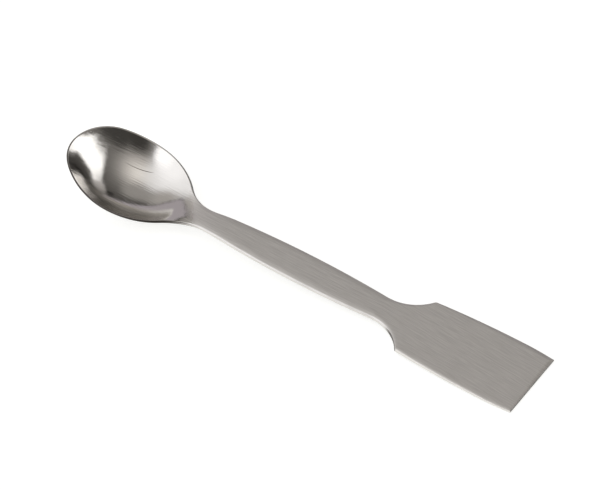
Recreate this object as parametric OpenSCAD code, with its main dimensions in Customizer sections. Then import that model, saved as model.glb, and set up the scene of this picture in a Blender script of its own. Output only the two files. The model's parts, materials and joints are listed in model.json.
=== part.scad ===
// Spoon spatula for the laboratory: a spoon at one end, a flat blade at the
// other, pressed and ground from one strip of stainless steel.
// It lies as it rests on a bench, on the underside of the bowl and the blade's end.

/* [Overall] */
// Length from the tip of the spoon to the end of the blade, along the handle
total_len = 150; // [130:1:200]
// Thickness of the steel strip, along the handle
strip_t = 1.5; // [1.2:0.1:2.5]

/* [Spoon] */
// Length from the spoon's tip to the narrowest place of the neck
bowl_len = 44.5; // [40:0.5:56]
// Width of the bowl
bowl_w = 28.2; // [22:0.2:36]
// Length from the spoon's tip to the widest place of the bowl
bowl_tip_len = 18.5; // [14:0.5:22]
// Depth of the bowl below its rim
bowl_depth = 6.2; // [4:0.1:8]
// Thickness of the bowl's wall, pressed thinner than the strip
bowl_t = 0.9; // [0.6:0.05:1.3]
// Height of the rim at the spoon's tip, above the face of the handle
tip_rise = 5.1; // [2:0.1:8]
// How far the rim dips below the face of the handle, just before the neck
rim_dip = 1.35; // [0.5:0.05:2.5]

/* [Handle] */
// Width of the neck, between the bowl and the handle
neck_w = 7.5; // [6:0.1:9]
// Radius of the fillet at each side of the neck
neck_r = 15.5; // [6:0.5:18]
// Width of the handle at its widest place
handle_w = 10.8; // [9.5:0.1:14]
// Length from the blade's shoulders back to the handle's widest place
handle_back = 36.5; // [28:0.5:42]
// Width of the waist, where the handle meets the flare of the blade
waist_w = 8.9; // [7:0.1:9.4]
// Radius of the rounded edges of the handle
handle_edge_r = 0.6; // [0.2:0.05:0.7]

/* [Blade] */
// Length of the blade, from its shoulders to its end
blade_len = 36.4; // [28:0.1:44]
// Width of the blade at its widest place
blade_w = 23.5; // [21.2:0.1:30]
// Width of the blade across its shoulders
shoulder_w = 20.9; // [16:0.1:23.2]
// Length from the blade's end back to its widest place
blade_back = 8.5; // [6:0.5:16]
// How far each side draws in, from the widest place to the corner of the end
end_draw = 0.55; // [0.1:0.05:1.5]
// Radius of the hollow flare between the handle and each shoulder
flare_r = 12.5; // [9:0.5:18]
// Radius that rounds each shoulder, as seen from above
shoulder_r = 1.1; // [0.4:0.1:2.5]
// Thickness of the blade at its ground end
blade_end_t = 0.85; // [0.4:0.05:1]
// Radius that breaks the blade's long edges
blade_edge_r = 0.15; // [0.1:0.05:0.3]

/* [Hidden] */

// Stations round a quarter of the bowl's tip, and along each later stretch
tip_steps = 22;
flank_steps = 10;
neck_steps = 12;
handle_steps = 12;
flare_steps = 9;
shoulder_steps = 4;
blade_steps = 5;
end_steps = 3;
// Rings of points between the middle line and the rounded edge
inner_rings = 7;
// Facets across each rounded edge
edge_steps = 3;
// Radius of the rim's rounded edges, as a share of the wall
rim_rounding = 0.4;
// The largest radius of any edge, as a share of the thickness there
edge_limit = 0.45;
// How sharply the bowl shallows towards the neck, as a power of its width
shallowing = 1.2;
// Side view of the rim: it turns downwards behind the tip, eases over the
// belly of the bowl, turns upwards at the dip and levels out on the handle.
// Each place is counted from the tip or from the neck, with its half length
tip_turn = 4.5;
tip_turn_run = 4;
belly_back = 31;
belly_run = 7;
dip_back = 6;
dip_run = 5;
crest_ahead = 3;
crest_run = 5;
// Slope of the rim behind the belly, as a share of its slope before it
belly_ease = 0.37;
// Length of the blank past the blade's end, cut off square
trim = 1;
// Half of the step used to measure the surface's slope
probe = 0.01;

bowl_b = bowl_w / 2;
neck_b = neck_w / 2;
handle_b = handle_w / 2;
waist_b = waist_w / 2;
shoulder_b = shoulder_w / 2;
blade_b = blade_w / 2;
shoulder_x = total_len - blade_len;
handle_x = shoulder_x - handle_back;
blade_x = total_len - blade_back;

// Two tangent arcs that join places where an edge runs lengthwise: their
// radii add up to this, whichever share each one takes
function arc_sum(run, rise) = (pow(run, 2) + pow(rise, 2)) / (2 * rise);
flank_r = arc_sum(bowl_len - bowl_tip_len, bowl_b - neck_b) - neck_r;
neck_side_r = arc_sum(handle_x - bowl_len, handle_b - neck_b) - neck_r;
// Each side of the blade is one long arc and a tighter one that draws in to the
// end's corner. Behind them a small arc rounds the shoulder, and the flare, which
// leaves the waist lengthwise, runs into that
blade_side_r = arc_sum(blade_x - shoulder_x, blade_b - shoulder_b);
end_side_r = arc_sum(blade_back, end_draw);
blade_centre = [blade_x, blade_b - blade_side_r];
shoulder = [shoulder_x, shoulder_b];
shoulder_centre = shoulder - shoulder_r * (shoulder - blade_centre) / blade_side_r;
waist_x = shoulder_centre.x
    - sqrt(pow(flare_r + shoulder_r, 2) - pow(waist_b + flare_r - shoulder_centre.y, 2));
waist_side_r = arc_sum(waist_x - handle_x, handle_b - waist_b) - flare_r;

// Where the arcs meet, on the line between their centres
function meet(x1, r1, x2, r2) = x1 + (x2 - x1) * r1 / (r1 + r2);
flank_end = meet(bowl_tip_len, flank_r, bowl_len, neck_r);
neck_end = meet(handle_x, neck_side_r, bowl_len, neck_r);
flare_start = meet(handle_x, waist_side_r, waist_x, flare_r);
flare_end = meet(waist_x, flare_r, shoulder_centre.x, shoulder_r);

// Half width from an arc whose crown (or hollow) is at [x, y]
function crown(at, x, y, r) = y - r + sqrt(pow(r, 2) - pow(at - x, 2));
function hollow(at, x, y, r) = y + r - sqrt(pow(r, 2) - pow(at - x, 2));
// Half width of the outline behind the bowl's widest place
function half_w(x) =
    x < flank_end ? crown(x, bowl_tip_len, bowl_b, flank_r) :
    x < neck_end ? hollow(x, bowl_len, neck_b, neck_r) :
    x < handle_x ? crown(x, handle_x, handle_b, neck_side_r) :
    x < flare_start ? crown(x, handle_x, handle_b, waist_side_r) :
    x < flare_end ? hollow(x, waist_x, waist_b, flare_r) :
    x < shoulder_x ? crown(x, shoulder_centre.x, shoulder_centre.y + shoulder_r, shoulder_r) :
    x < blade_x ? crown(x, blade_x, blade_b, blade_side_r) :
    crown(x, blade_x, blade_b, end_side_r);

// A line turned by a slope at one place, rounded over a half length each way
function turned(x, at, slope, run) =
    x < at - run ? 0 :
    x > at + run ? slope * (x - at) :
    slope * pow(x - at + run, 2) / (4 * run);
belly_x = bowl_len - belly_back;
dip_x = bowl_len - dip_back;
crest_x = bowl_len + crest_ahead;
crest_end = crest_x + crest_run;
rim_slope = (tip_rise + rim_dip) / (belly_x - tip_turn + belly_ease * (dip_x - belly_x));
dip_slope = belly_ease * rim_slope;
neck_slope = rim_dip / (crest_x - dip_x);
// Height of the rim, and of the handle's face behind it, which is at 0
function rim(x) =
    x > crest_end ? 0 :
    tip_rise
    - turned(x, tip_turn, rim_slope, tip_turn_run)
    + turned(x, belly_x, rim_slope - dip_slope, belly_run)
    + turned(x, dip_x, dip_slope + neck_slope, dip_run)
    - turned(x, crest_x, neck_slope, crest_run);

// The bowl is a spherical dish, drawn out to the outline of the spoon
dish_r = arc_sum(bowl_b, bowl_depth);
function dish(share) = sqrt(pow(dish_r, 2) - pow(share * bowl_b, 2)) - dish_r + bowl_depth;
// Share of the full depth left at a place between the widest place and the neck
function fullness(x) =
    x < bowl_tip_len ? 1 :
    x < bowl_len ? pow((half_w(x) - neck_b) / (bowl_b - neck_b), shallowing) :
    0;
// Height of the upper face
function face(x, y) =
    x < bowl_tip_len ? rim(x) - dish(norm([1 - x / bowl_tip_len, y / bowl_b])) :
    x < bowl_len ? rim(x) - fullness(x) * dish(y / half_w(x)) :
    rim(x);
// Direction square to the upper face
function square_to(x, y) =
    let (dx = face(x + probe, y) - face(x - probe, y),
         dy = face(x, y + probe) - face(x, y - probe),
         n = [-dx, -dy, 2 * probe])
    n / norm(n);

// A smooth step from 0 to 1 between two places
function ease(x, start, end) =
    x <= start ? 0 : x >= end ? 1 : (1 - cos(180 * (x - start) / (end - start))) / 2;
// Thickness: the bowl's wall, the strip, and the taper ground from the waist on
function thick(x) =
    x < waist_x ? bowl_t + (strip_t - bowl_t) * ease(x, bowl_tip_len, crest_end) :
    strip_t + (blade_end_t - strip_t) * (x - waist_x) / (total_len - waist_x);
// Radius of the rounded edge: the rim is rounded over most of its wall
rim_edge_r = rim_rounding * bowl_t;
function edge_r(x) =
    min(edge_limit * thick(x),
        rim_edge_r
        + (handle_edge_r - rim_edge_r) * ease(x, flank_end, crest_x)
        + (blade_edge_r - handle_edge_r) * ease(x, flare_start, shoulder_x));

// Places along the length, from the bowl's widest place to the blade's end
function steps(start, end, n) = [for (i = [0 : n - 1]) start + (end - start) * i / n];
places = concat(
    steps(bowl_tip_len, flank_end, flank_steps),
    steps(flank_end, crest_end, neck_steps),
    steps(crest_end, flare_start, handle_steps),
    steps(flare_start, flare_end, flare_steps),
    steps(flare_end, shoulder_x, shoulder_steps),
    steps(shoulder_x, blade_x, blade_steps),
    steps(blade_x, total_len + trim, end_steps),
    [total_len + trim]
);
last_place = len(places) - 1;

// The outline, one side: round the tip to the widest place, then along the length
side = concat(
    [for (i = [0 : tip_steps - 1]) let (a = 90 * i / tip_steps)
        [bowl_tip_len * (1 - cos(a)), bowl_b * sin(a)]],
    [for (x = places) [x, half_w(x)]]
);
// Each station of the outline is joined to a place on the middle line
middle = concat([for (i = [1 : tip_steps]) bowl_tip_len], places);
// The whole outline: from the blade's end up one side, round the tip and back
last_side = len(side) - 1;
outline = concat(
    [for (i = [last_side : -1 : 1]) [side[i].x, -side[i].y, middle[i], i]],
    [for (i = [0 : last_side]) [side[i].x, side[i].y, middle[i], i]]
);
stations = len(outline);

// Rings across each station: [share of the reach, share of the edge radius, sink]
rings = concat(
    [for (i = [1 : inner_rings]) [i / inner_rings, 1, 0]],
    [for (i = [edge_steps - 1 : -1 : 0]) let (a = 90 * i / edge_steps)
        [1, 1 - cos(a), 1 - sin(a)]]
);
ring_count = len(rings);

// A point of a face at [x, y], sunk by depth square to the upper face
function below(x, y, depth) = [x, y, face(x, y)] - depth * square_to(x, y);
function ring_points(under) = [
    for (s = outline, g = rings)
        let (reach = [s[0] - s[2], s[1]],
             r = edge_r(s[0]),
             share = g[0] * (1 - g[1] * r / norm(reach)),
             x = s[2] + share * reach[0],
             y = share * reach[1],
             sink = g[2] * r)
        below(x, y, under ? thick(x) - sink : sink)
];
function middle_points(under) = [for (x = places) below(x, 0, under ? thick(x) : 0)];
points = concat(ring_points(false), middle_points(false), ring_points(true), middle_points(true));

// Numbers of the points in that list
per_face = stations * ring_count + last_place + 1;
function ring_id(s, g, under) = (under ? per_face : 0) + s * ring_count + g;
function middle_id(s, under) =
    (under ? per_face : 0) + stations * ring_count + max(0, outline[s][3] - tip_steps);
// Id of ring g of a station, where ring -1 is its place on the middle line
function id(s, g, under) = g < 0 ? middle_id(s, under) : ring_id(s, g, under);

// Two triangles over four corners, or one where two corners are the same
function quad(a, b, c, d) = a == d ? [[a, b, c]] : [[a, b, c], [a, c, d]];
function flipped(faces) = [for (f = faces) [f[0], f[2], f[1]]];
function cover(under) = [
    for (s = [0 : stations - 2], g = [-1 : ring_count - 2])
        each quad(id(s, g, under), id(s, g + 1, under), id(s + 1, g + 1, under), id(s + 1, g, under))
];
// The edge of the sheet round the outline
rim_faces = [
    for (s = [0 : stations - 2]) let (g = ring_count - 1)
        each quad(id(s, g, false), id(s, g, true), id(s + 1, g, true), id(s + 1, g, false))
];
// The blade's end, across both halves of its last station
function end_faces(s) = [
    for (g = [-1 : ring_count - 2])
        each quad(id(s, g, false), id(s, g, true), id(s, g + 1, true), id(s, g + 1, false))
];
faces = concat(
    cover(false), flipped(cover(true)), rim_faces,
    end_faces(0), flipped(end_faces(stations - 1))
);

// At rest a line from under the blade's end touches the bowl from below
rest_tilt = max([for (p = middle_points(true)) if (p.x < handle_x)
    atan((-blade_end_t - p.z) / (total_len - p.x))]);
lift = total_len * sin(rest_tilt) + blade_end_t * cos(rest_tilt);
tip_reach = min([for (p = points) p.x * cos(rest_tilt) + p.z * sin(rest_tilt)]);
centre_x = (tip_reach + total_len * cos(rest_tilt)) / 2;

// The strip as pressed and ground, before its end is cut
module blank() {
    polyhedron(points = points, faces = faces, convexity = 4);
}

module spatula() {
    color("silver")
        translate([-centre_x, 0, lift])
            rotate([0, rest_tilt, 0])
                difference() {
                    blank();
                    translate([total_len, -blade_w, -strip_t])
                        cube([2 * trim, 2 * blade_w, 2 * strip_t]);
                }
}

spatula();
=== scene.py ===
"""A laboratory spoon spatula of stainless steel, lying on a pale studio floor.

The spoon, the handle and the blade are one strip: pressed, ground along its
length and left bright in the bowl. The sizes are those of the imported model.
"""

import json
from math import asin, cos, hypot, pi, radians, sin, sqrt

import bmesh
import bpy
from mathutils import Matrix, Vector


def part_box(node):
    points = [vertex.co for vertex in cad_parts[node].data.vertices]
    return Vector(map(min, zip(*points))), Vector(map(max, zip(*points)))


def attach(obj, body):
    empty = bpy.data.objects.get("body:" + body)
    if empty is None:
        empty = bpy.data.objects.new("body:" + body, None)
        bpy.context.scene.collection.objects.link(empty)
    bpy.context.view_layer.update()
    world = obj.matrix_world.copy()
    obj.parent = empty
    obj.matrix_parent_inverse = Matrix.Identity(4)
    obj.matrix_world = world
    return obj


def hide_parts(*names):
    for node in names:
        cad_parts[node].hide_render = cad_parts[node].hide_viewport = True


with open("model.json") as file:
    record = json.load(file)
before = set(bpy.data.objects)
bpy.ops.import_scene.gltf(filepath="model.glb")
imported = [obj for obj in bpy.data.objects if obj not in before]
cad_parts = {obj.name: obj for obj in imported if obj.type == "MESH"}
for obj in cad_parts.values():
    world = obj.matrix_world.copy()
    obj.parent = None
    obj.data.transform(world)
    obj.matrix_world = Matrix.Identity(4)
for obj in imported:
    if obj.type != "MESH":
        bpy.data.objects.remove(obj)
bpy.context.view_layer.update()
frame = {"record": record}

bl_info = {
    "name": "Laboratory spoon spatula",
    "version": (1, 0, 0),
    "blender": (4, 5, 0),
    "location": "3D View > Sidebar > Spatula",
    "description": "Builds a spoon spatula of stainless steel and its studio",
    "category": "Add Mesh",
}

NODE = "spatula"
MM = 0.001


def linear(hex_colour):
    """An sRGB colour such as "C8C4BE" as linear red, green and blue."""
    shares = [int(hex_colour[i : i + 2], 16) / 255 for i in (0, 2, 4)]
    return tuple(
        s / 12.92 if s <= 0.04045 else ((s + 0.055) / 1.055) ** 2.4 for s in shares
    )


def length(name, description, millimetres):
    """A size that a user can change, given in millimetres."""
    return bpy.props.FloatProperty(
        name=name,
        description=description,
        default=millimetres * MM,
        min=0.0,
        precision=5,
        subtype="DISTANCE",
        unit="LENGTH",
    )


def colour(name, description, hex_colour):
    """A colour that a user can change, given as sRGB hex."""
    return bpy.props.FloatVectorProperty(
        name=name,
        description=description,
        default=linear(hex_colour),
        min=0.0,
        max=1.0,
        size=3,
        subtype="COLOR",
    )


class SpatulaSizes(bpy.types.PropertyGroup):
    """Sizes of the strip, along the handle and square to it"""

    total_len: length("Length", "From the spoon's tip to the blade's end", 150)
    strip_t: length("Thickness", "Thickness of the strip", 1.5)
    bowl_len: length("Spoon length", "From the tip to the narrowest place", 44.5)
    bowl_w: length("Bowl width", "Width of the bowl", 28.2)
    bowl_tip_len: length("Bowl nose", "From the tip to the bowl's widest place", 18.5)
    bowl_depth: length("Bowl depth", "Depth below the rim", 6.2)
    bowl_t: length("Bowl wall", "Thickness of the bowl's wall", 0.9)
    tip_rise: length("Tip rise", "Height of the tip above the handle's face", 5.1)
    rim_dip: length("Rim dip", "How far the rim dips before the neck", 1.35)
    neck_w: length("Neck width", "Width of the neck", 7.5)
    neck_r: length("Neck fillet", "Radius of the fillet at the neck", 15.5)
    handle_w: length("Handle width", "Width at the handle's widest place", 10.8)
    handle_back: length(
        "Handle taper", "From the shoulders to the handle's widest place", 36.5
    )
    waist_w: length("Waist width", "Width where the flare begins", 8.9)
    handle_edge_r: length("Handle edge", "Radius of the handle's edges", 0.6)
    blade_len: length("Blade length", "From the shoulders to the end", 36.4)
    blade_w: length("Blade width", "Width at the blade's widest place", 23.5)
    shoulder_w: length("Shoulder width", "Width across the shoulders", 20.9)
    blade_back: length("Blade taper", "From the end to the widest place", 8.5)
    end_draw: length("End draw", "How far each side draws in to the end", 0.55)
    flare_r: length("Flare", "Radius of the hollow flare", 12.5)
    shoulder_r: length("Shoulder radius", "Radius that rounds a shoulder", 1.1)
    blade_end_t: length("Blade end", "Thickness at the ground end", 0.85)
    blade_edge_r: length("Blade edge", "Radius that breaks the long edges", 0.15)
    end_edge_r: length("End edge", "Radius that breaks the cut end", 0.06)
    roll_w: length("Roll", "Width of the soft roll beside the handle's edges", 1.6)
    roll_drop: length("Roll drop", "How far the face sinks across the roll", 0.11)
    end_roll_w: length("End roll", "Width of the roll beside the blade's end", 1.3)
    end_roll_drop: length("End roll drop", "How far the face sinks at the end", 0.28)


class SteelFinish(bpy.types.PropertyGroup):
    """Colours of the steel's finishes"""

    steel: colour("Steel", "Ground, brushed and polished steel", "D8D5D1")
    # Darker colour on the rim, the flare's side and the cut end: painted shade for the
    # shadowed floor that these edges mirror, on edges also left sheared and dull
    sheared: colour("Sheared edge", "Edges left as the blank was sheared", "605C58")
    mark: colour("Scratch", "The hairline scratch in the bowl", "5A544E")


class StudioSetup(bpy.types.PropertyGroup):
    """Colour of the floor"""

    floor: colour("Floor", "Pale floor", "F4F4F2")


# ---------------------------------------------------------------- the strip


def arc_sum(run, rise):
    """Radii of two tangent arcs that join lengthwise edges, added up."""
    return (run**2 + rise**2) / (2 * rise)


def crown(at, x, y, radius):
    """Half width from an arc whose widest place is at x, y."""
    return y - radius + sqrt(max(0.0, radius**2 - (at - x) ** 2))


def hollow(at, x, y, radius):
    """Half width from an arc whose narrowest place is at x, y."""
    return y + radius - sqrt(max(0.0, radius**2 - (at - x) ** 2))


def ease(x, start, end):
    """A smooth step from 0 to 1 between two places."""
    share = min(1.0, max(0.0, (x - start) / (end - start)))
    return (1 - cos(pi * share)) / 2


def turned(x, at, slope, run, soft=0.7 * MM):
    """A line turned by a slope at one place, on an arc with softened ends."""

    def area(u):
        if u <= -run:
            return 0.0
        if u >= run:
            return 2 * run**2 / 3 + (u**2 - run**2) / 2
        return (u + run) ** 3 / (12 * run)

    return slope * (area(x - at + soft) - area(x - at - soft)) / (2 * soft)


class Strip:
    """The pressed and ground strip.

    x runs from the tip to the blade's end, y across from the near side to the
    far one, and z up from the face of the handle.
    """

    # Side view of the rim: it turns downwards behind the tip, eases over the
    # belly of the bowl, turns upwards at the dip and levels out on the handle.
    # Each place is counted from the tip or the neck, and each run is a half length
    tip_turn, tip_turn_run = 4.5 * MM, 4 * MM
    belly_back, belly_run = 31 * MM, 7 * MM
    dip_back, dip_run = 6 * MM, 5 * MM
    crest_ahead, crest_run = 3 * MM, 5 * MM
    # Slope of the rim behind the belly, as a share of its slope before it
    belly_ease = 0.37
    # How fast the bowl shallows: the power of its width beyond the neck's
    shallowing = 1.2
    # Radius of the rim's rounded edges, as a share of the wall
    rim_rounding = 0.3
    # The largest radius of any edge, as a share of the thickness there
    edge_limit = 0.45
    # Width and drop of the soft roll on the bowl's far rim, and on the flare
    rim_roll_w, rim_roll_drop = 1.2 * MM, 0.05 * MM
    flare_roll_w, flare_roll_drop = 0.7 * MM, 0.07 * MM
    # The handle's roll begins this far before the end of the neck's fillet
    roll_ahead = 6 * MM
    # The edges sharpen in the last stretch, where stations lie closer, and
    # closest at the corner
    end_stretch = 2 * MM
    corner_step = 0.12 * MM
    # The flare's sheared edge and its painted shade begin and are full this far
    # before the flare's end
    sheared_from, sheared_full = 7 * MM, 3.5 * MM
    # How much of the sheared edge and its painted shade is left on the far side,
    # as a share of the near side's
    far_sheared_shade = 0.25
    # Brush lines shift across by these shares of the height, and of the length
    # behind the waist
    lean = 0.9
    blade_skew = 0.08
    # A small step, used to measure slopes
    probe = 0.01 * MM

    def __init__(self, sizes):
        self.sizes = sizes
        s = sizes
        self.bowl_b, self.neck_b = s.bowl_w / 2, s.neck_w / 2
        self.handle_b, self.waist_b = s.handle_w / 2, s.waist_w / 2
        self.shoulder_b, self.blade_b = s.shoulder_w / 2, s.blade_w / 2
        self.shoulder_x = s.total_len - s.blade_len
        self.handle_x = self.shoulder_x - s.handle_back
        self.blade_x = s.total_len - s.blade_back
        self.lay_out_sides()
        self.lay_out_rim()
        self.dish_r = arc_sum(self.bowl_b, s.bowl_depth)

    def lay_out_sides(self):
        """The tangent arcs of the outline, and where they meet."""
        s = self.sizes
        self.flank_r = (
            arc_sum(s.bowl_len - s.bowl_tip_len, self.bowl_b - self.neck_b) - s.neck_r
        )
        self.neck_side_r = (
            arc_sum(self.handle_x - s.bowl_len, self.handle_b - self.neck_b) - s.neck_r
        )
        self.blade_side_r = arc_sum(
            self.blade_x - self.shoulder_x, self.blade_b - self.shoulder_b
        )
        blade_centre = Vector((self.blade_x, self.blade_b - self.blade_side_r))
        shoulder = Vector((self.shoulder_x, self.shoulder_b))
        self.shoulder_centre = (
            shoulder - s.shoulder_r * (shoulder - blade_centre) / self.blade_side_r
        )
        reach = s.flare_r + s.shoulder_r
        drop = self.waist_b + s.flare_r - self.shoulder_centre.y
        self.waist_x = self.shoulder_centre.x - sqrt(reach**2 - drop**2)
        self.waist_side_r = (
            arc_sum(self.waist_x - self.handle_x, self.handle_b - self.waist_b)
            - s.flare_r
        )
        self.end_side_r = arc_sum(s.blade_back, s.end_draw)
        self.corner_y = self.blade_b - s.end_draw

        def meet(x1, r1, x2, r2):
            return x1 + (x2 - x1) * r1 / (r1 + r2)

        self.flank_end = meet(s.bowl_tip_len, self.flank_r, s.bowl_len, s.neck_r)
        self.neck_end = meet(self.handle_x, self.neck_side_r, s.bowl_len, s.neck_r)
        self.flare_start = meet(
            self.handle_x, self.waist_side_r, self.waist_x, s.flare_r
        )
        self.flare_end = meet(
            self.waist_x, s.flare_r, self.shoulder_centre.x, s.shoulder_r
        )

    def lay_out_rim(self):
        """The slopes of the rim's side view between its turns."""
        s = self.sizes
        self.belly_x = s.bowl_len - self.belly_back
        self.dip_x = s.bowl_len - self.dip_back
        self.crest_x = s.bowl_len + self.crest_ahead
        self.crest_end = self.crest_x + self.crest_run
        self.rim_slope = (s.tip_rise + s.rim_dip) / (
            self.belly_x - self.tip_turn + self.belly_ease * (self.dip_x - self.belly_x)
        )
        self.dip_slope = self.belly_ease * self.rim_slope
        self.neck_slope = s.rim_dip / (self.crest_x - self.dip_x)

    def half_width(self, x):
        """Half width of the outline behind the bowl's widest place."""
        s = self.sizes
        if x < self.flank_end:
            return crown(x, s.bowl_tip_len, self.bowl_b, self.flank_r)
        if x < self.neck_end:
            return hollow(x, s.bowl_len, self.neck_b, s.neck_r)
        if x < self.handle_x:
            return crown(x, self.handle_x, self.handle_b, self.neck_side_r)
        if x < self.flare_start:
            return crown(x, self.handle_x, self.handle_b, self.waist_side_r)
        if x < self.flare_end:
            return hollow(x, self.waist_x, self.waist_b, s.flare_r)
        if x < self.shoulder_x:
            top = self.shoulder_centre.y + s.shoulder_r
            return crown(x, self.shoulder_centre.x, top, s.shoulder_r)
        if x < self.blade_x:
            return crown(x, self.blade_x, self.blade_b, self.blade_side_r)
        return crown(x, self.blade_x, self.blade_b, self.end_side_r)

    def rim(self, x):
        """Height of the rim, and of the handle's face behind it."""
        if x > self.crest_end:
            return 0.0
        return (
            self.sizes.tip_rise
            - turned(x, self.tip_turn, self.rim_slope, self.tip_turn_run)
            + turned(
                x, self.belly_x, self.rim_slope - self.dip_slope, self.belly_run
            )
            + turned(x, self.dip_x, self.dip_slope + self.neck_slope, self.dip_run)
            - turned(x, self.crest_x, self.neck_slope, self.crest_run)
        )

    def dish(self, share):
        """Depth of the round dish at a share of its radius."""
        return (
            sqrt(self.dish_r**2 - (share * self.bowl_b) ** 2)
            - self.dish_r
            + self.sizes.bowl_depth
        )

    def face(self, x, y):
        """Height of the upper face."""
        s = self.sizes
        if x < s.bowl_tip_len:
            share = hypot(1 - x / s.bowl_tip_len, y / self.bowl_b)
            return self.rim(x) - self.dish(share)
        if x < s.bowl_len:
            half = self.half_width(x)
            full = max(0.0, (half - self.neck_b) / (self.bowl_b - self.neck_b))
            return self.rim(x) - full**self.shallowing * self.dish(y / half)
        return self.rim(x)

    def square_to(self, x, y):
        """Direction square to the upper face."""
        d = self.probe
        return Vector(
            (
                self.face(x - d, y) - self.face(x + d, y),
                self.face(x, y - d) - self.face(x, y + d),
                2 * d,
            )
        ).normalized()

    def thickness(self, x):
        """The bowl's wall, the strip, and the taper ground from the waist on."""
        s = self.sizes
        if x < self.waist_x:
            grown = ease(x, s.bowl_tip_len, self.crest_end)
            return s.bowl_t + (s.strip_t - s.bowl_t) * grown
        share = (x - self.waist_x) / (s.total_len - self.waist_x)
        return s.strip_t + (s.blade_end_t - s.strip_t) * share

    def edge_radius(self, x):
        """Radius of the rounded edge along the sides."""
        s = self.sizes
        rim_r = self.rim_rounding * s.bowl_t
        return min(
            self.edge_limit * self.thickness(x),
            rim_r
            + (s.handle_edge_r - rim_r) * ease(x, self.flank_end, self.crest_x)
            + (s.blade_edge_r - s.handle_edge_r)
            * ease(x, self.flare_start, self.shoulder_x)
            + (s.end_edge_r - s.blade_edge_r)
            * ease(x, s.total_len - self.end_stretch, s.total_len),
        )

    def roll(self, x, y):
        """Width and drop of the soft roll that brushing leaves beside the edge.

        The bowl's near rim is rolled more than the far one, and the blade's far
        corner is worn more than the near one.
        """
        s = self.sizes
        near = 1 + ease(-y, -self.bowl_b, self.bowl_b)
        worn = ease(y, -self.blade_b, self.blade_b)
        width, drop = near * self.rim_roll_w, near**2 * self.rim_roll_drop
        changes = [
            (self.neck_end - self.roll_ahead, self.crest_end, s.roll_w, s.roll_drop),
            (self.flare_start, self.waist_x, self.flare_roll_w, self.flare_roll_drop),
            (
                self.shoulder_x,
                s.total_len,
                self.flare_roll_w + (s.end_roll_w - self.flare_roll_w) * worn,
                self.flare_roll_drop + (s.end_roll_drop - self.flare_roll_drop) * worn,
            ),
        ]
        for start, end, new_width, new_drop in changes:
            changed = ease(x, start, end)
            width += (new_width - width) * changed
            drop += (new_drop - drop) * changed
        return width, drop

    def left_sheared_shade(self, x, y):
        """How much of the blank's sheared edge is left.

        It is left on the bowl's rim, and on the flare up to about the middle of
        the shoulder's arc, where a belt doesn't reach. Its darker colour there is
        painted shade, for the shadowed floor that these edges mirror.
        """
        rim = 1 - ease(x, self.flank_end, self.neck_end)
        flare = ease(
            x, self.flare_end - self.sheared_from, self.flare_end - self.sheared_full
        )
        corner_x = (self.flare_end + self.shoulder_centre.x) / 2
        left = max(rim, flare * (x < corner_x))
        return left if y < 0 else self.far_sheared_shade * left

    def below(self, x, y, depth):
        """A point sunk by a depth square to the upper face."""
        return Vector((x, y, self.face(x, y))) - depth * self.square_to(x, y)


# Stations round each half of the bowl's tip
TIP_STATIONS = 44
# Stations in the blade's last stretch, also across its end, and from there to
# the middle
CORNER_STATIONS, END_STATIONS = 6, 8
# Rings over the face, across the roll and round each edge
FACE_RINGS = 16
ROLL_RINGS = 5
EDGE_RINGS = 6
# How many of the edge's rings, counted from its side, can show as sheared,
# darker with painted shade
SHEARED_SHADE_RINGS = 4
# Where the way inwards slants from the outline's normal an inset is stretched,
# but by no more than one over this
LEAST_SLANT = 0.45
# Points nearer than this are one point
MERGE = 1e-7
# Faces that look this squarely along the strip are its end
END_FACING = 0.8


def spread(start, end, count):
    """Places from start on, evenly spaced, without the end."""
    return [start + (end - start) * i / count for i in range(count)]


def half_outline(strip):
    """Places and outward directions along one side, from the tip to the end."""
    s = strip.sizes
    side = []
    for angle in spread(0, pi / 2, TIP_STATIONS):
        place = Vector((s.bowl_tip_len * (1 - cos(angle)), strip.bowl_b * sin(angle)))
        out = Vector((-cos(angle) / s.bowl_tip_len, sin(angle) / strip.bowl_b))
        side.append((place, out.normalized()))
    stretch_x = s.total_len - strip.end_stretch
    corner_x = s.total_len - strip.corner_step
    # Stretches of the side behind the tip: start, end and number of stations
    runs = [
        (s.bowl_tip_len, strip.flank_end, 20),
        (strip.flank_end, strip.crest_end, 26),
        (strip.crest_end, strip.flare_start, 26),
        (strip.flare_start, strip.flare_end, 18),
        (strip.flare_end, strip.shoulder_x, 9),
        (strip.shoulder_x, strip.blade_x, 12),
        (strip.blade_x, stretch_x, 7),
        (stretch_x, corner_x, CORNER_STATIONS),
        (corner_x, s.total_len, 1),
    ]
    for start, end, count in runs:
        for x in spread(start, end, count):
            step = strip.probe
            slope = strip.half_width(x + step) - strip.half_width(x)
            out = Vector((-slope, step)).normalized()
            side.append((Vector((x, strip.half_width(x))), out))
    # At the sharp corner both directions count half
    corner_out = (side[-1][1] + Vector((1, 0))) / 2
    side.append((Vector((s.total_len, strip.corner_y)), corner_out))
    inner = strip.corner_y - strip.corner_step
    stretch_y = inner - strip.end_stretch
    across = spread(inner, stretch_y, CORNER_STATIONS)
    across += spread(stretch_y, 0, END_STATIONS)
    for y in across:
        side.append((Vector((s.total_len, y)), Vector((1, 0))))
    return side


def whole_outline(strip):
    """The closed outline: from the tip along one side, and back on the other."""
    side = half_outline(strip)
    end = (Vector((strip.sizes.total_len, 0)), Vector((1, 0)))
    mirrored = [
        (Vector((place.x, -place.y)), Vector((out.x, -out.y)))
        for place, out in reversed(side[1:])
    ]
    return side + [end] + mirrored


def upper_profile(strip, place):
    """From inside the roll to the edge's side: inset and depth."""
    radius = strip.edge_radius(place.x)
    width, drop = strip.roll(place.x, place.y)
    steps = []
    for i in range(ROLL_RINGS):
        share = i / ROLL_RINGS
        steps.append((radius + width * (1 - share), drop * share**2))
    for i in range(EDGE_RINGS + 1):
        a = pi / 2 * i / EDGE_RINGS
        steps.append((radius * (1 - sin(a)), drop + radius * (1 - cos(a))))
    return steps


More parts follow.
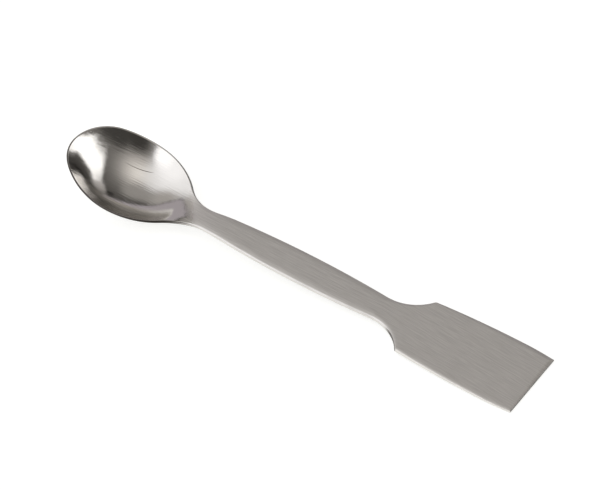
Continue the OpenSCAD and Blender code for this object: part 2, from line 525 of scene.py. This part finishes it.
def put_in_order(bm):
    """Sorts points and faces by place, so that every run lists them alike."""
    for i, vert in enumerate(sorted(bm.verts, key=lambda v: v.co[:])):
        vert.index = i
    bm.verts.sort()
    centres = {face: face.calc_center_median()[:] for face in bm.faces}
    for i, face in enumerate(sorted(bm.faces, key=centres.get)):
        face.index = i
    bm.faces.sort()


def build_strip(strip):
    """Extrudes the outline's ring of edges over the face and round the edge."""
    outline = whole_outline(strip)
    s = strip.sizes
    foot_end = s.total_len - strip.corner_y
    feet = [min(max(place.x, s.bowl_tip_len), foot_end) for place, _ in outline]
    profiles = [upper_profile(strip, place) for place, _ in outline]
    bm = bmesh.new()
    station = bm.verts.layers.int.new("station")
    # Share of the darker sheared edge, painted shade for the shadowed floor mirrored
    # there
    sheared = bm.verts.layers.float.new("sheared")
    ring = bmesh.ops.create_circle(
        bm, cap_ends=False, radius=1.0, segments=len(outline)
    )["verts"]
    for i, vert in enumerate(ring):
        vert[station] = i
        vert.co = strip.below(feet[i], 0, 0)

    steps = len(profiles[0])

    def lay(vert, share, step, under):
        """Sets a point at a share of the way from the middle line to its step."""
        i = vert[station]
        place, out = outline[i]
        inset, depth = profiles[i][step]
        foot = Vector((feet[i], 0))
        inward = (foot - place).normalized()
        at = place + inset / max(LEAST_SLANT, -inward.dot(out)) * inward
        if share < 1:
            at = foot + share * (at - foot)
            depth = 0.0
        if under:
            depth = strip.thickness(at.x if share < 1 else place.x) - depth
        # The darker sheared edge, with its painted shade, lies only on the edge's side
        on_side = share == 1 and step >= steps - SHEARED_SHADE_RINGS
        vert[sheared] = on_side * strip.left_sheared_shade(place.x, place.y)
        vert.co = strip.below(at.x, at.y, depth)

    way = [(i / FACE_RINGS, 0) for i in range(1, FACE_RINGS)]
    way += [(1, step) for step in range(steps)]
    plan = [(*place, False) for place in way]
    plan += [(*place, True) for place in reversed(way)] + [(0, 0, True)]
    for place in plan:
        known = set(ring)
        edges = {e for v in ring for e in v.link_edges if e.other_vert(v) in known}
        grown = bmesh.ops.extrude_edge_only(bm, edges=list(edges))["geom"]
        ring = [g for g in grown if isinstance(g, bmesh.types.BMVert)]
        for vert in ring:
            lay(vert, *place)
    bmesh.ops.remove_doubles(bm, verts=bm.verts, dist=MERGE)
    bmesh.ops.recalc_face_normals(bm, faces=bm.faces)
    put_in_order(bm)
    uv = bm.loops.layers.uv.new("brush")
    for face in bm.faces:
        face.smooth = True
        # End faces take the sheared steel, whose dark colour is painted shade
        face.material_index = int(face.normal.x > END_FACING)
        for loop in face.loops:
            at = loop.vert.co / MM
            askew = strip.blade_skew * max(0.0, at.x - strip.waist_x / MM)
            loop[uv].uv = (at.y + strip.lean * at.z + askew, at.x)
    return bm


def lay_down(bm, node):
    """Tilts the strip as it rests, and sets it in its place in the frame."""
    axis = frame["record"]["mounts"][0]["axis"]
    tilt = asin(axis[0])
    turn = Matrix.Rotation(tilt, 3, "Y")
    bmesh.ops.rotate(bm, verts=bm.verts, cent=(0, 0, 0), matrix=turn)
    low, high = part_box(node)
    end = max(v.co.x for v in bm.verts)
    foot = min(v.co.z for v in bm.verts)
    bmesh.ops.translate(bm, verts=bm.verts, vec=(high.x - end, 0, low.z - foot))


def new_piece(name, bm, *materials):
    """A mesh object from a bmesh, with its materials."""
    mesh = bpy.data.meshes.new(name)
    bm.to_mesh(mesh)
    bm.free()
    for material in materials:
        mesh.materials.append(material)
    piece = bpy.data.objects.new(name, mesh)
    bpy.context.scene.collection.objects.link(piece)
    return piece


# ---------------------------------------------------------------- finishes


def add_node(tree, kind, sockets=None, **settings):
    """Adds a node, makes its settings, and fills or links its inputs."""
    node = tree.nodes.new(kind)
    for name, value in settings.items():
        setattr(node, name, value)
    for key, value in (sockets or {}).items():
        if isinstance(value, bpy.types.NodeSocket):
            tree.links.new(value, node.inputs[key])
        else:
            node.inputs[key].default_value = value
    return node


def remap(tree, value, start, end, low=0.0, high=1.0, **settings):
    """Carries a value over from the range start to end into low to high."""
    sockets = {
        "Value": value,
        "From Min": start,
        "From Max": end,
        "To Min": low,
        "To Max": high,
    }
    return add_node(tree, "ShaderNodeMapRange", sockets, **settings).outputs["Result"]


def compute(tree, operation, *values):
    """The result of one operation on numbers."""
    sockets = dict(enumerate(values))
    return add_node(tree, "ShaderNodeMath", sockets, operation=operation).outputs[0]


def compute_vector(tree, operation, result, *vectors):
    """The named result of one operation on vectors."""
    sockets = dict(enumerate(vectors))
    node = add_node(tree, "ShaderNodeVectorMath", sockets, operation=operation)
    return node.outputs[result]


def part_of(tree, vector, axis):
    """One of a vector's three parts."""
    return add_node(tree, "ShaderNodeSeparateXYZ", {0: vector}).outputs[axis]


def blend(tree, share, none, full):
    """A mix of two numbers."""
    sockets = {"Factor": share, "A": none, "B": full}
    node = add_node(tree, "ShaderNodeMix", sockets, data_type="FLOAT")
    return node.outputs["Result"]


# Sockets of a mix of colours, which share their names with those of numbers
COLOUR_A, COLOUR_B, COLOUR_RESULT = 6, 7, 2


def blend_colours(tree, share, none, full):
    """A mix of two colours."""
    sockets = {"Factor": share, COLOUR_A: none, COLOUR_B: full}
    node = add_node(tree, "ShaderNodeMix", sockets, data_type="RGBA")
    return node.outputs[COLOUR_RESULT]


def new_material(name):
    """A material with an empty node tree."""
    material = bpy.data.materials.new(name)
    material.use_nodes = True
    material.node_tree.nodes.clear()
    return material


def brush_noise(tree, uv, apart, long, roughness):
    """Noise drawn out into lines, with their spacing and length in millimetres."""
    lines = add_node(
        tree,
        "ShaderNodeMapping",
        {"Vector": uv, "Scale": (1 / apart, 1 / long, 1)},
    ).outputs["Vector"]
    return add_node(
        tree,
        "ShaderNodeTexNoise",
        {"Vector": lines, "Scale": 1.0, "Detail": 2.0, "Roughness": roughness},
        noise_dimensions="2D",
    ).outputs["Fac"]


def hairline(tree, position):
    """A scratch across the bowl, a flat arc that fades in and out along X."""
    centre = (-73.6 * MM, 65 * MM, 0)
    radius, half_width = 60.08 * MM, 0.08 * MM
    fades = ((-62.5 * MM, -59 * MM), (-53.8 * MM, -55.5 * MM))
    reach = compute_vector(tree, "SUBTRACT", "Vector", position, centre)
    reach = compute_vector(tree, "MULTIPLY", "Vector", reach, (1, 1, 0))
    reach = compute_vector(tree, "LENGTH", "Value", reach)
    scratch = compute(tree, "COMPARE", reach, radius, half_width)
    along = part_of(tree, position, "X")
    for gone, full in fades:
        scratch = compute(tree, "MULTIPLY", scratch, remap(tree, along, gone, full))
    return scratch


def brushed_stainless_steel(finish):
    """Stainless strip, brushed on a belt, and polished in the bowl.

    The belt leaves fine lines lengthwise, which smear what the steel mirrors
    across them into an even satin. The bowl is polished after pressing, so it
    mirrors the room, with faint lines where the belt's are left.
    """
    satin_rough, sheared_rough = 0.34, 0.4
    polish_rough = (0.045, 0.1)
    material = new_material("brushed_stainless_steel")
    tree = material.node_tree
    uv = add_node(tree, "ShaderNodeUVMap", uv_map="brush").outputs["UV"]
    position = add_node(tree, "ShaderNodeTexCoord").outputs["Object"]
    # The polish ends on a slant across the neck, nearer the bowl on the far side
    slant = compute_vector(tree, "DOT_PRODUCT", "Value", position, (1.0, 0.7, 0.0))
    polish = remap(
        tree, slant, -37.8 * MM, -33.5 * MM, 1.0, 0.0, interpolation_type="SMOOTHSTEP"
    )
    # Brush lines: 0.1 mm and finer in truth, drawn 0.36 mm apart to show
    streaks = brush_noise(tree, uv, 0.36, 7, 0.6)
    # Broad bands, 1.6 mm apart, where the polish is more and less even
    bands = brush_noise(tree, uv, 1.6, 14, 0.5)
    polished = remap(tree, bands, 0.45, 0.7, *polish_rough)
    rough = blend(tree, polish, satin_rough, polished)
    relief = remap(tree, polish, 0.0, 1.0, 0.03 * MM, 0.024 * MM)
    normal = add_node(
        tree,
        "ShaderNodeBump",
        {"Height": streaks, "Strength": 1.0, "Distance": relief},
    ).outputs["Normal"]
    # Lines lie lighter and darker on the satin, and only as relief in the polish
    shade = remap(tree, streaks, 0.25, 0.75, 1.0, 1.18)
    shade = blend(tree, polish, shade, 1.0)
    scratch = hairline(tree, position)
    tint = blend_colours(tree, scratch, (*finish.steel, 1), (*finish.mark, 1))
    tint = add_node(
        tree, "ShaderNodeVectorMath", {0: tint, "Scale": shade}, operation="SCALE"
    ).outputs["Vector"]
    # Where the sheared edge is left it is dull and darker; the darker colour is
    # painted shade, for the shadowed floor it mirrors
    sheared = add_node(
        tree, "ShaderNodeAttribute", attribute_name="sheared"
    ).outputs["Fac"]
    tint = blend_colours(tree, sheared, tint, (*finish.sheared, 1))
    rough = blend(tree, sheared, rough, sheared_rough)
    tangent = add_node(
        tree, "ShaderNodeTangent", direction_type="UV_MAP", uv_map="brush"
    ).outputs["Tangent"]
    steel = add_node(
        tree,
        "ShaderNodeBsdfPrincipled",
        {
            "Base Color": tint,
            "Metallic": 1.0,
            "Roughness": rough,
            "Anisotropic": 0.7,
            "Normal": normal,
            "Tangent": tangent,
        },
    )
    add_node(tree, "ShaderNodeOutputMaterial", {"Surface": steel.outputs["BSDF"]})
    return material


def sheared_steel_painted_shade(finish):
    """Stainless steel where the blank was sheared across.

    The shear tears the metal in upright marks, so the end looks dull. Its dark
    colour is painted shade, for the shadowed floor that the end mirrors.
    """
    material = new_material("sheared_steel_painted_shade")
    tree = material.node_tree
    position = add_node(tree, "ShaderNodeTexCoord").outputs["Object"]
    # Shear marks stand upright across the thickness, 0.2 mm apart
    marks = add_node(
        tree,
        "ShaderNodeMapping",
        {"Vector": position, "Scale": (1 / MM, 1 / (0.2 * MM), 1 / (3 * MM))},
    ).outputs["Vector"]
    grain = add_node(
        tree, "ShaderNodeTexNoise", {"Vector": marks, "Scale": 1.0, "Detail": 3.0}
    ).outputs["Fac"]
    normal = add_node(
        tree,
        "ShaderNodeBump",
        {"Height": grain, "Strength": 0.6, "Distance": 0.03 * MM},
    ).outputs["Normal"]
    steel = add_node(
        tree,
        "ShaderNodeBsdfPrincipled",
        {
            "Base Color": (*finish.sheared, 1),
            "Metallic": 1.0,
            "Roughness": 0.5,
            "Normal": normal,
        },
    )
    add_node(tree, "ShaderNodeOutputMaterial", {"Surface": steel.outputs["BSDF"]})
    return material


def studio_paper(setup):
    """Seamless white paper, pressed smooth and matt, so it shows an even white.

    To the camera it glows by itself up to near white, and takes the rest from
    the light, so the shadow under things is kept. In the steel it glows only
    where it lies open, not close beside or under things.
    """
    camera_glow, matt = 0.93, 0.4
    near_y, far_y, far_glow = -2 * MM, 11 * MM, 0.06
    material = new_material("seamless_white_paper")
    tree = material.node_tree
    light = add_node(tree, "ShaderNodeLightPath").outputs
    # The glow that the steel mirrors drops close beside and under things: painted
    # shadow in the reflected floor
    open_sky = add_node(
        tree, "ShaderNodeAmbientOcclusion", {"Distance": 20 * MM}, samples=8
    ).outputs["AO"]
    open_sky = remap(tree, open_sky, 0.3, 0.6)
    mirrored = compute(tree, "MULTIPLY", light["Is Glossy Ray"], open_sky)
    # In the steel the glow also fades to the far side. Real paper doesn't do
    # that: it is given, and stands for no lamp or screen
    position = add_node(tree, "ShaderNodeTexCoord").outputs["Object"]
    across = part_of(tree, position, "Y")
    # This fade is painted shade in the floor that the steel mirrors, darker towards the
    # far side
    across = remap(tree, across, near_y, far_y, 1.0, far_glow)
    mirrored = compute(tree, "MULTIPLY", mirrored, across)
    seen = compute(tree, "MULTIPLY", light["Is Camera Ray"], camera_glow)
    glow = compute(tree, "ADD", seen, mirrored)
    paper = add_node(tree, "ShaderNodeBsdfDiffuse", {"Color": (matt, matt, matt, 1)})
    shine = add_node(
        tree, "ShaderNodeEmission", {"Color": (*setup.floor, 1), "Strength": glow}
    )
    both = add_node(
        tree, "ShaderNodeAddShader", {0: paper.outputs[0], 1: shine.outputs[0]}
    )
    add_node(tree, "ShaderNodeOutputMaterial", {"Surface": both.outputs[0]})
    return material


# ---------------------------------------------------------------- the studio

# Shade of the room by the sine of the elevation looked at. This and the patches
# are fitted to the shades that the steel should show, not to a known room
ROOM_SHADES = [
    (0.0, (0.072, 0.068, 0.064)),
    (0.3, (0.08, 0.076, 0.071)),
    (0.6, (0.13, 0.124, 0.117)),
    (0.743, (0.19, 0.182, 0.172)),
    (0.819, (0.25, 0.24, 0.228)),
    (0.883, (0.37, 0.355, 0.338)),
    (0.94, (0.59, 0.565, 0.538)),
    (0.978, (0.8, 0.77, 0.735)),
    (1.0, (1.0, 0.965, 0.925)),
]

# Round patches that stand for panels, screens and dark things, each laid over
# the ones before: azimuth, elevation, angles within which it is full and beyond
# which it is gone, all in degrees, and its shade
ROOM_PATCHES = [
    (-150, 0, 20, 58, (0.75, 0.75, 0.76)),
    (-108, 44, 5, 49, (1.17, 1.17, 1.19)),
    (-58, 41, 2, 22, (0.47, 0.45, 0.43)),
    (-26, 54, 2, 22, (0.37, 0.356, 0.34)),
    (-132, 43, 8, 26, (1.34, 1.34, 1.37)),
    (-152, 44, 8, 16, (1.55, 1.55, 1.58)),
    (152, 43, 9, 22, (0.06, 0.057, 0.053)),
    (118, 38, 9, 22, (0.065, 0.062, 0.058)),
    # Two grey discs, each with a dark line round it
    (-43, -30, 59.7, 60.2, (0.1, 0.095, 0.095)),
    (-53, 8, 24.6, 25.1, (0.1, 0.095, 0.095)),
    (-43, -30, 57.9, 58.7, (0.46, 0.428, 0.452)),
    (-53, 8, 22.8, 23.6, (0.46, 0.428, 0.452)),
    # A dark screen with two paler patches over it
    (8, 0, 14, 21, (0.07, 0.066, 0.062)),
    (5, 20, 2, 9, (0.42, 0.4, 0.385)),
    (13, 25, 3, 9, (0.55, 0.53, 0.52)),
    # Two small dark things
    (-3, 26, 2, 4.5, (0.03, 0.028, 0.026)),
    (12, 8, 1.5, 3.5, (0.02, 0.018, 0.017)),
]

# Half of the floor's side, in metres
FLOOR_HALF = 6.0
LAMP_SPREAD = radians(125)
# Focal length and sensor's width in millimetres, clipping in metres
CAMERA_LENS, CAMERA_SENSOR = 220.03, 36.0
CAMERA_CLIP = (0.01, 100.0)
# The camera looks this way, in degrees, at its target from 1 m away
CAMERA_AZIMUTH, CAMERA_ELEVATION = -33.873, -45.193
CAMERA_TARGET = (-1.511 * MM, 3.431 * MM, 7.698 * MM)


def direction(azimuth, elevation):
    """A unit direction; azimuth runs from +Y towards +X."""
    a, e = radians(azimuth), radians(elevation)
    return Vector((sin(a) * cos(e), cos(a) * cos(e), sin(e)))


def inside_patch(tree, towards, at, inner, outer):
    """How far a direction lies inside a round patch of the surroundings."""
    near = compute_vector(tree, "DOT_PRODUCT", "Value", towards, at)
    gone, full = cos(radians(outer)), cos(radians(inner))
    return remap(tree, near, gone, full, interpolation_type="SMOOTHSTEP")


def studio_surroundings():
    """A dim room with a warm ceiling for the steel, and plain white behind."""
    world = bpy.data.worlds.new("studio_room")
    bpy.context.scene.world = world
    world.use_nodes = True
    tree = world.node_tree
    tree.nodes.clear()
    towards = add_node(tree, "ShaderNodeTexCoord").outputs["Generated"]
    height = part_of(tree, towards, "Z")
    ramp = add_node(tree, "ShaderNodeValToRGB", {"Fac": height})
    elements = ramp.color_ramp.elements
    while len(elements) < len(ROOM_SHADES):
        elements.new(0.5)
    for element, (place, shade) in zip(elements, ROOM_SHADES):
        element.position = place
        element.color = (*shade, 1)
    room_shade = ramp.outputs["Color"]
    for azimuth, elevation, inner, outer, shade in ROOM_PATCHES:
        at = direction(azimuth, elevation)
        inside = inside_patch(tree, towards, at, inner, outer)
        room_shade = blend_colours(tree, inside, room_shade, (*shade, 1))
    light = add_node(tree, "ShaderNodeLightPath").outputs
    room = add_node(tree, "ShaderNodeBackground", {"Color": room_shade})
    backdrop = add_node(tree, "ShaderNodeBackground", {"Color": (1, 1, 1, 1)})
    both = add_node(
        tree,
        "ShaderNodeMixShader",
        {0: light["Is Camera Ray"], 1: room.outputs[0], 2: backdrop.outputs[0]},
    )
    add_node(tree, "ShaderNodeOutputWorld", {"Surface": both.outputs[0]})


def link_object(name, data, place, towards):
    """An object in the scene that looks in a direction from its place."""
    thing = bpy.data.objects.new(name, data)
    thing.location = place
    thing.rotation_mode = "QUATERNION"
    thing.rotation_quaternion = towards.to_track_quat("-Z", "Y")
    bpy.context.scene.collection.objects.link(thing)
    return thing


def softbox(name, place, azimuth, width, height, radiance):
    """An upright rectangular lamp that looks level along an azimuth."""
    data = bpy.data.lights.new(name, "AREA")
    data.shape = "RECTANGLE"
    data.size, data.size_y = width, height
    data.energy = radiance * pi * width * height
    data.spread = LAMP_SPREAD
    lamp = link_object(name, data, place, direction(azimuth, 0))
    lamp.visible_camera = False


def add_camera():
    """The camera, made the scene's own."""
    data = bpy.data.cameras.new("camera")
    data.lens, data.sensor_width = CAMERA_LENS, CAMERA_SENSOR
    data.clip_start, data.clip_end = CAMERA_CLIP
    towards = direction(CAMERA_AZIMUTH, CAMERA_ELEVATION)
    place = Vector(CAMERA_TARGET) - towards
    bpy.context.scene.camera = link_object("camera", data, place, towards)


class SPATULA_OT_strip(bpy.types.Operator):
    """Builds the spatula, one piece of pressed and ground steel"""

    bl_idname = "lab_spatula.strip"
    bl_label = "Spatula"

    def execute(self, context):
        bm = build_strip(Strip(context.scene.spatula_sizes))
        lay_down(bm, NODE)
        finish = context.scene.spatula_finish
        steel = brushed_stainless_steel(finish)
        sheared = sheared_steel_painted_shade(finish)
        piece = new_piece("steel_spatula", bm, steel, sheared)
        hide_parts(NODE)
        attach(piece, "root")
        return {"FINISHED"}


class SPATULA_OT_studio(bpy.types.Operator):
    """Sets up the floor, the light and the camera"""

    bl_idname = "lab_spatula.studio"
    bl_label = "Studio"

    def execute(self, context):
        setup = context.scene.spatula_studio
        bm = bmesh.new()
        bmesh.ops.create_grid(bm, x_segments=1, y_segments=1, size=FLOOR_HALF)
        floor = new_piece("studio_floor", bm, studio_paper(setup))
        studio_surroundings()
        softbox(
            "long_softbox",
            place=(1.1, 1.363, 1.375),
            azimuth=-110,
            width=2.98,
            height=0.66,
            radiance=1.6,
        )
        add_camera()
        context.scene.view_settings.view_transform = "Standard"
        return {"FINISHED"}


class SPATULA_PT_panel(bpy.types.Panel):
    """Lists the sizes, the finishes and the operators"""

    bl_idname = "SPATULA_PT_panel"
    bl_label = "Laboratory spatula"
    bl_space_type = "VIEW_3D"
    bl_region_type = "UI"
    bl_category = "Spatula"

    def draw(self, context):
        layout = self.layout
        scene = context.scene
        for group in (scene.spatula_sizes, scene.spatula_finish, scene.spatula_studio):
            box = layout.box()
            for name in group.__annotations__:
                box.prop(group, name)
        layout.operator("lab_spatula.strip")
        layout.operator("lab_spatula.studio")


CLASSES = (
    SpatulaSizes,
    SteelFinish,
    StudioSetup,
    SPATULA_OT_strip,
    SPATULA_OT_studio,
    SPATULA_PT_panel,
)


def register():
    """Adds the classes and the scene's settings."""
    for cls in CLASSES:
        bpy.utils.register_class(cls)
    bpy.types.Scene.spatula_sizes = bpy.props.PointerProperty(type=SpatulaSizes)
    bpy.types.Scene.spatula_finish = bpy.props.PointerProperty(type=SteelFinish)
    bpy.types.Scene.spatula_studio = bpy.props.PointerProperty(type=StudioSetup)


def unregister():
    """Takes the scene's settings and the classes away again."""
    del bpy.types.Scene.spatula_studio
    del bpy.types.Scene.spatula_finish
    del bpy.types.Scene.spatula_sizes
    for cls in reversed(CLASSES):
        bpy.utils.unregister_class(cls)


def main():
    """Builds the spatula and its studio."""
    register()
    bpy.ops.lab_spatula.strip()
    bpy.ops.lab_spatula.studio()


if __name__ == "__main__":
    main()
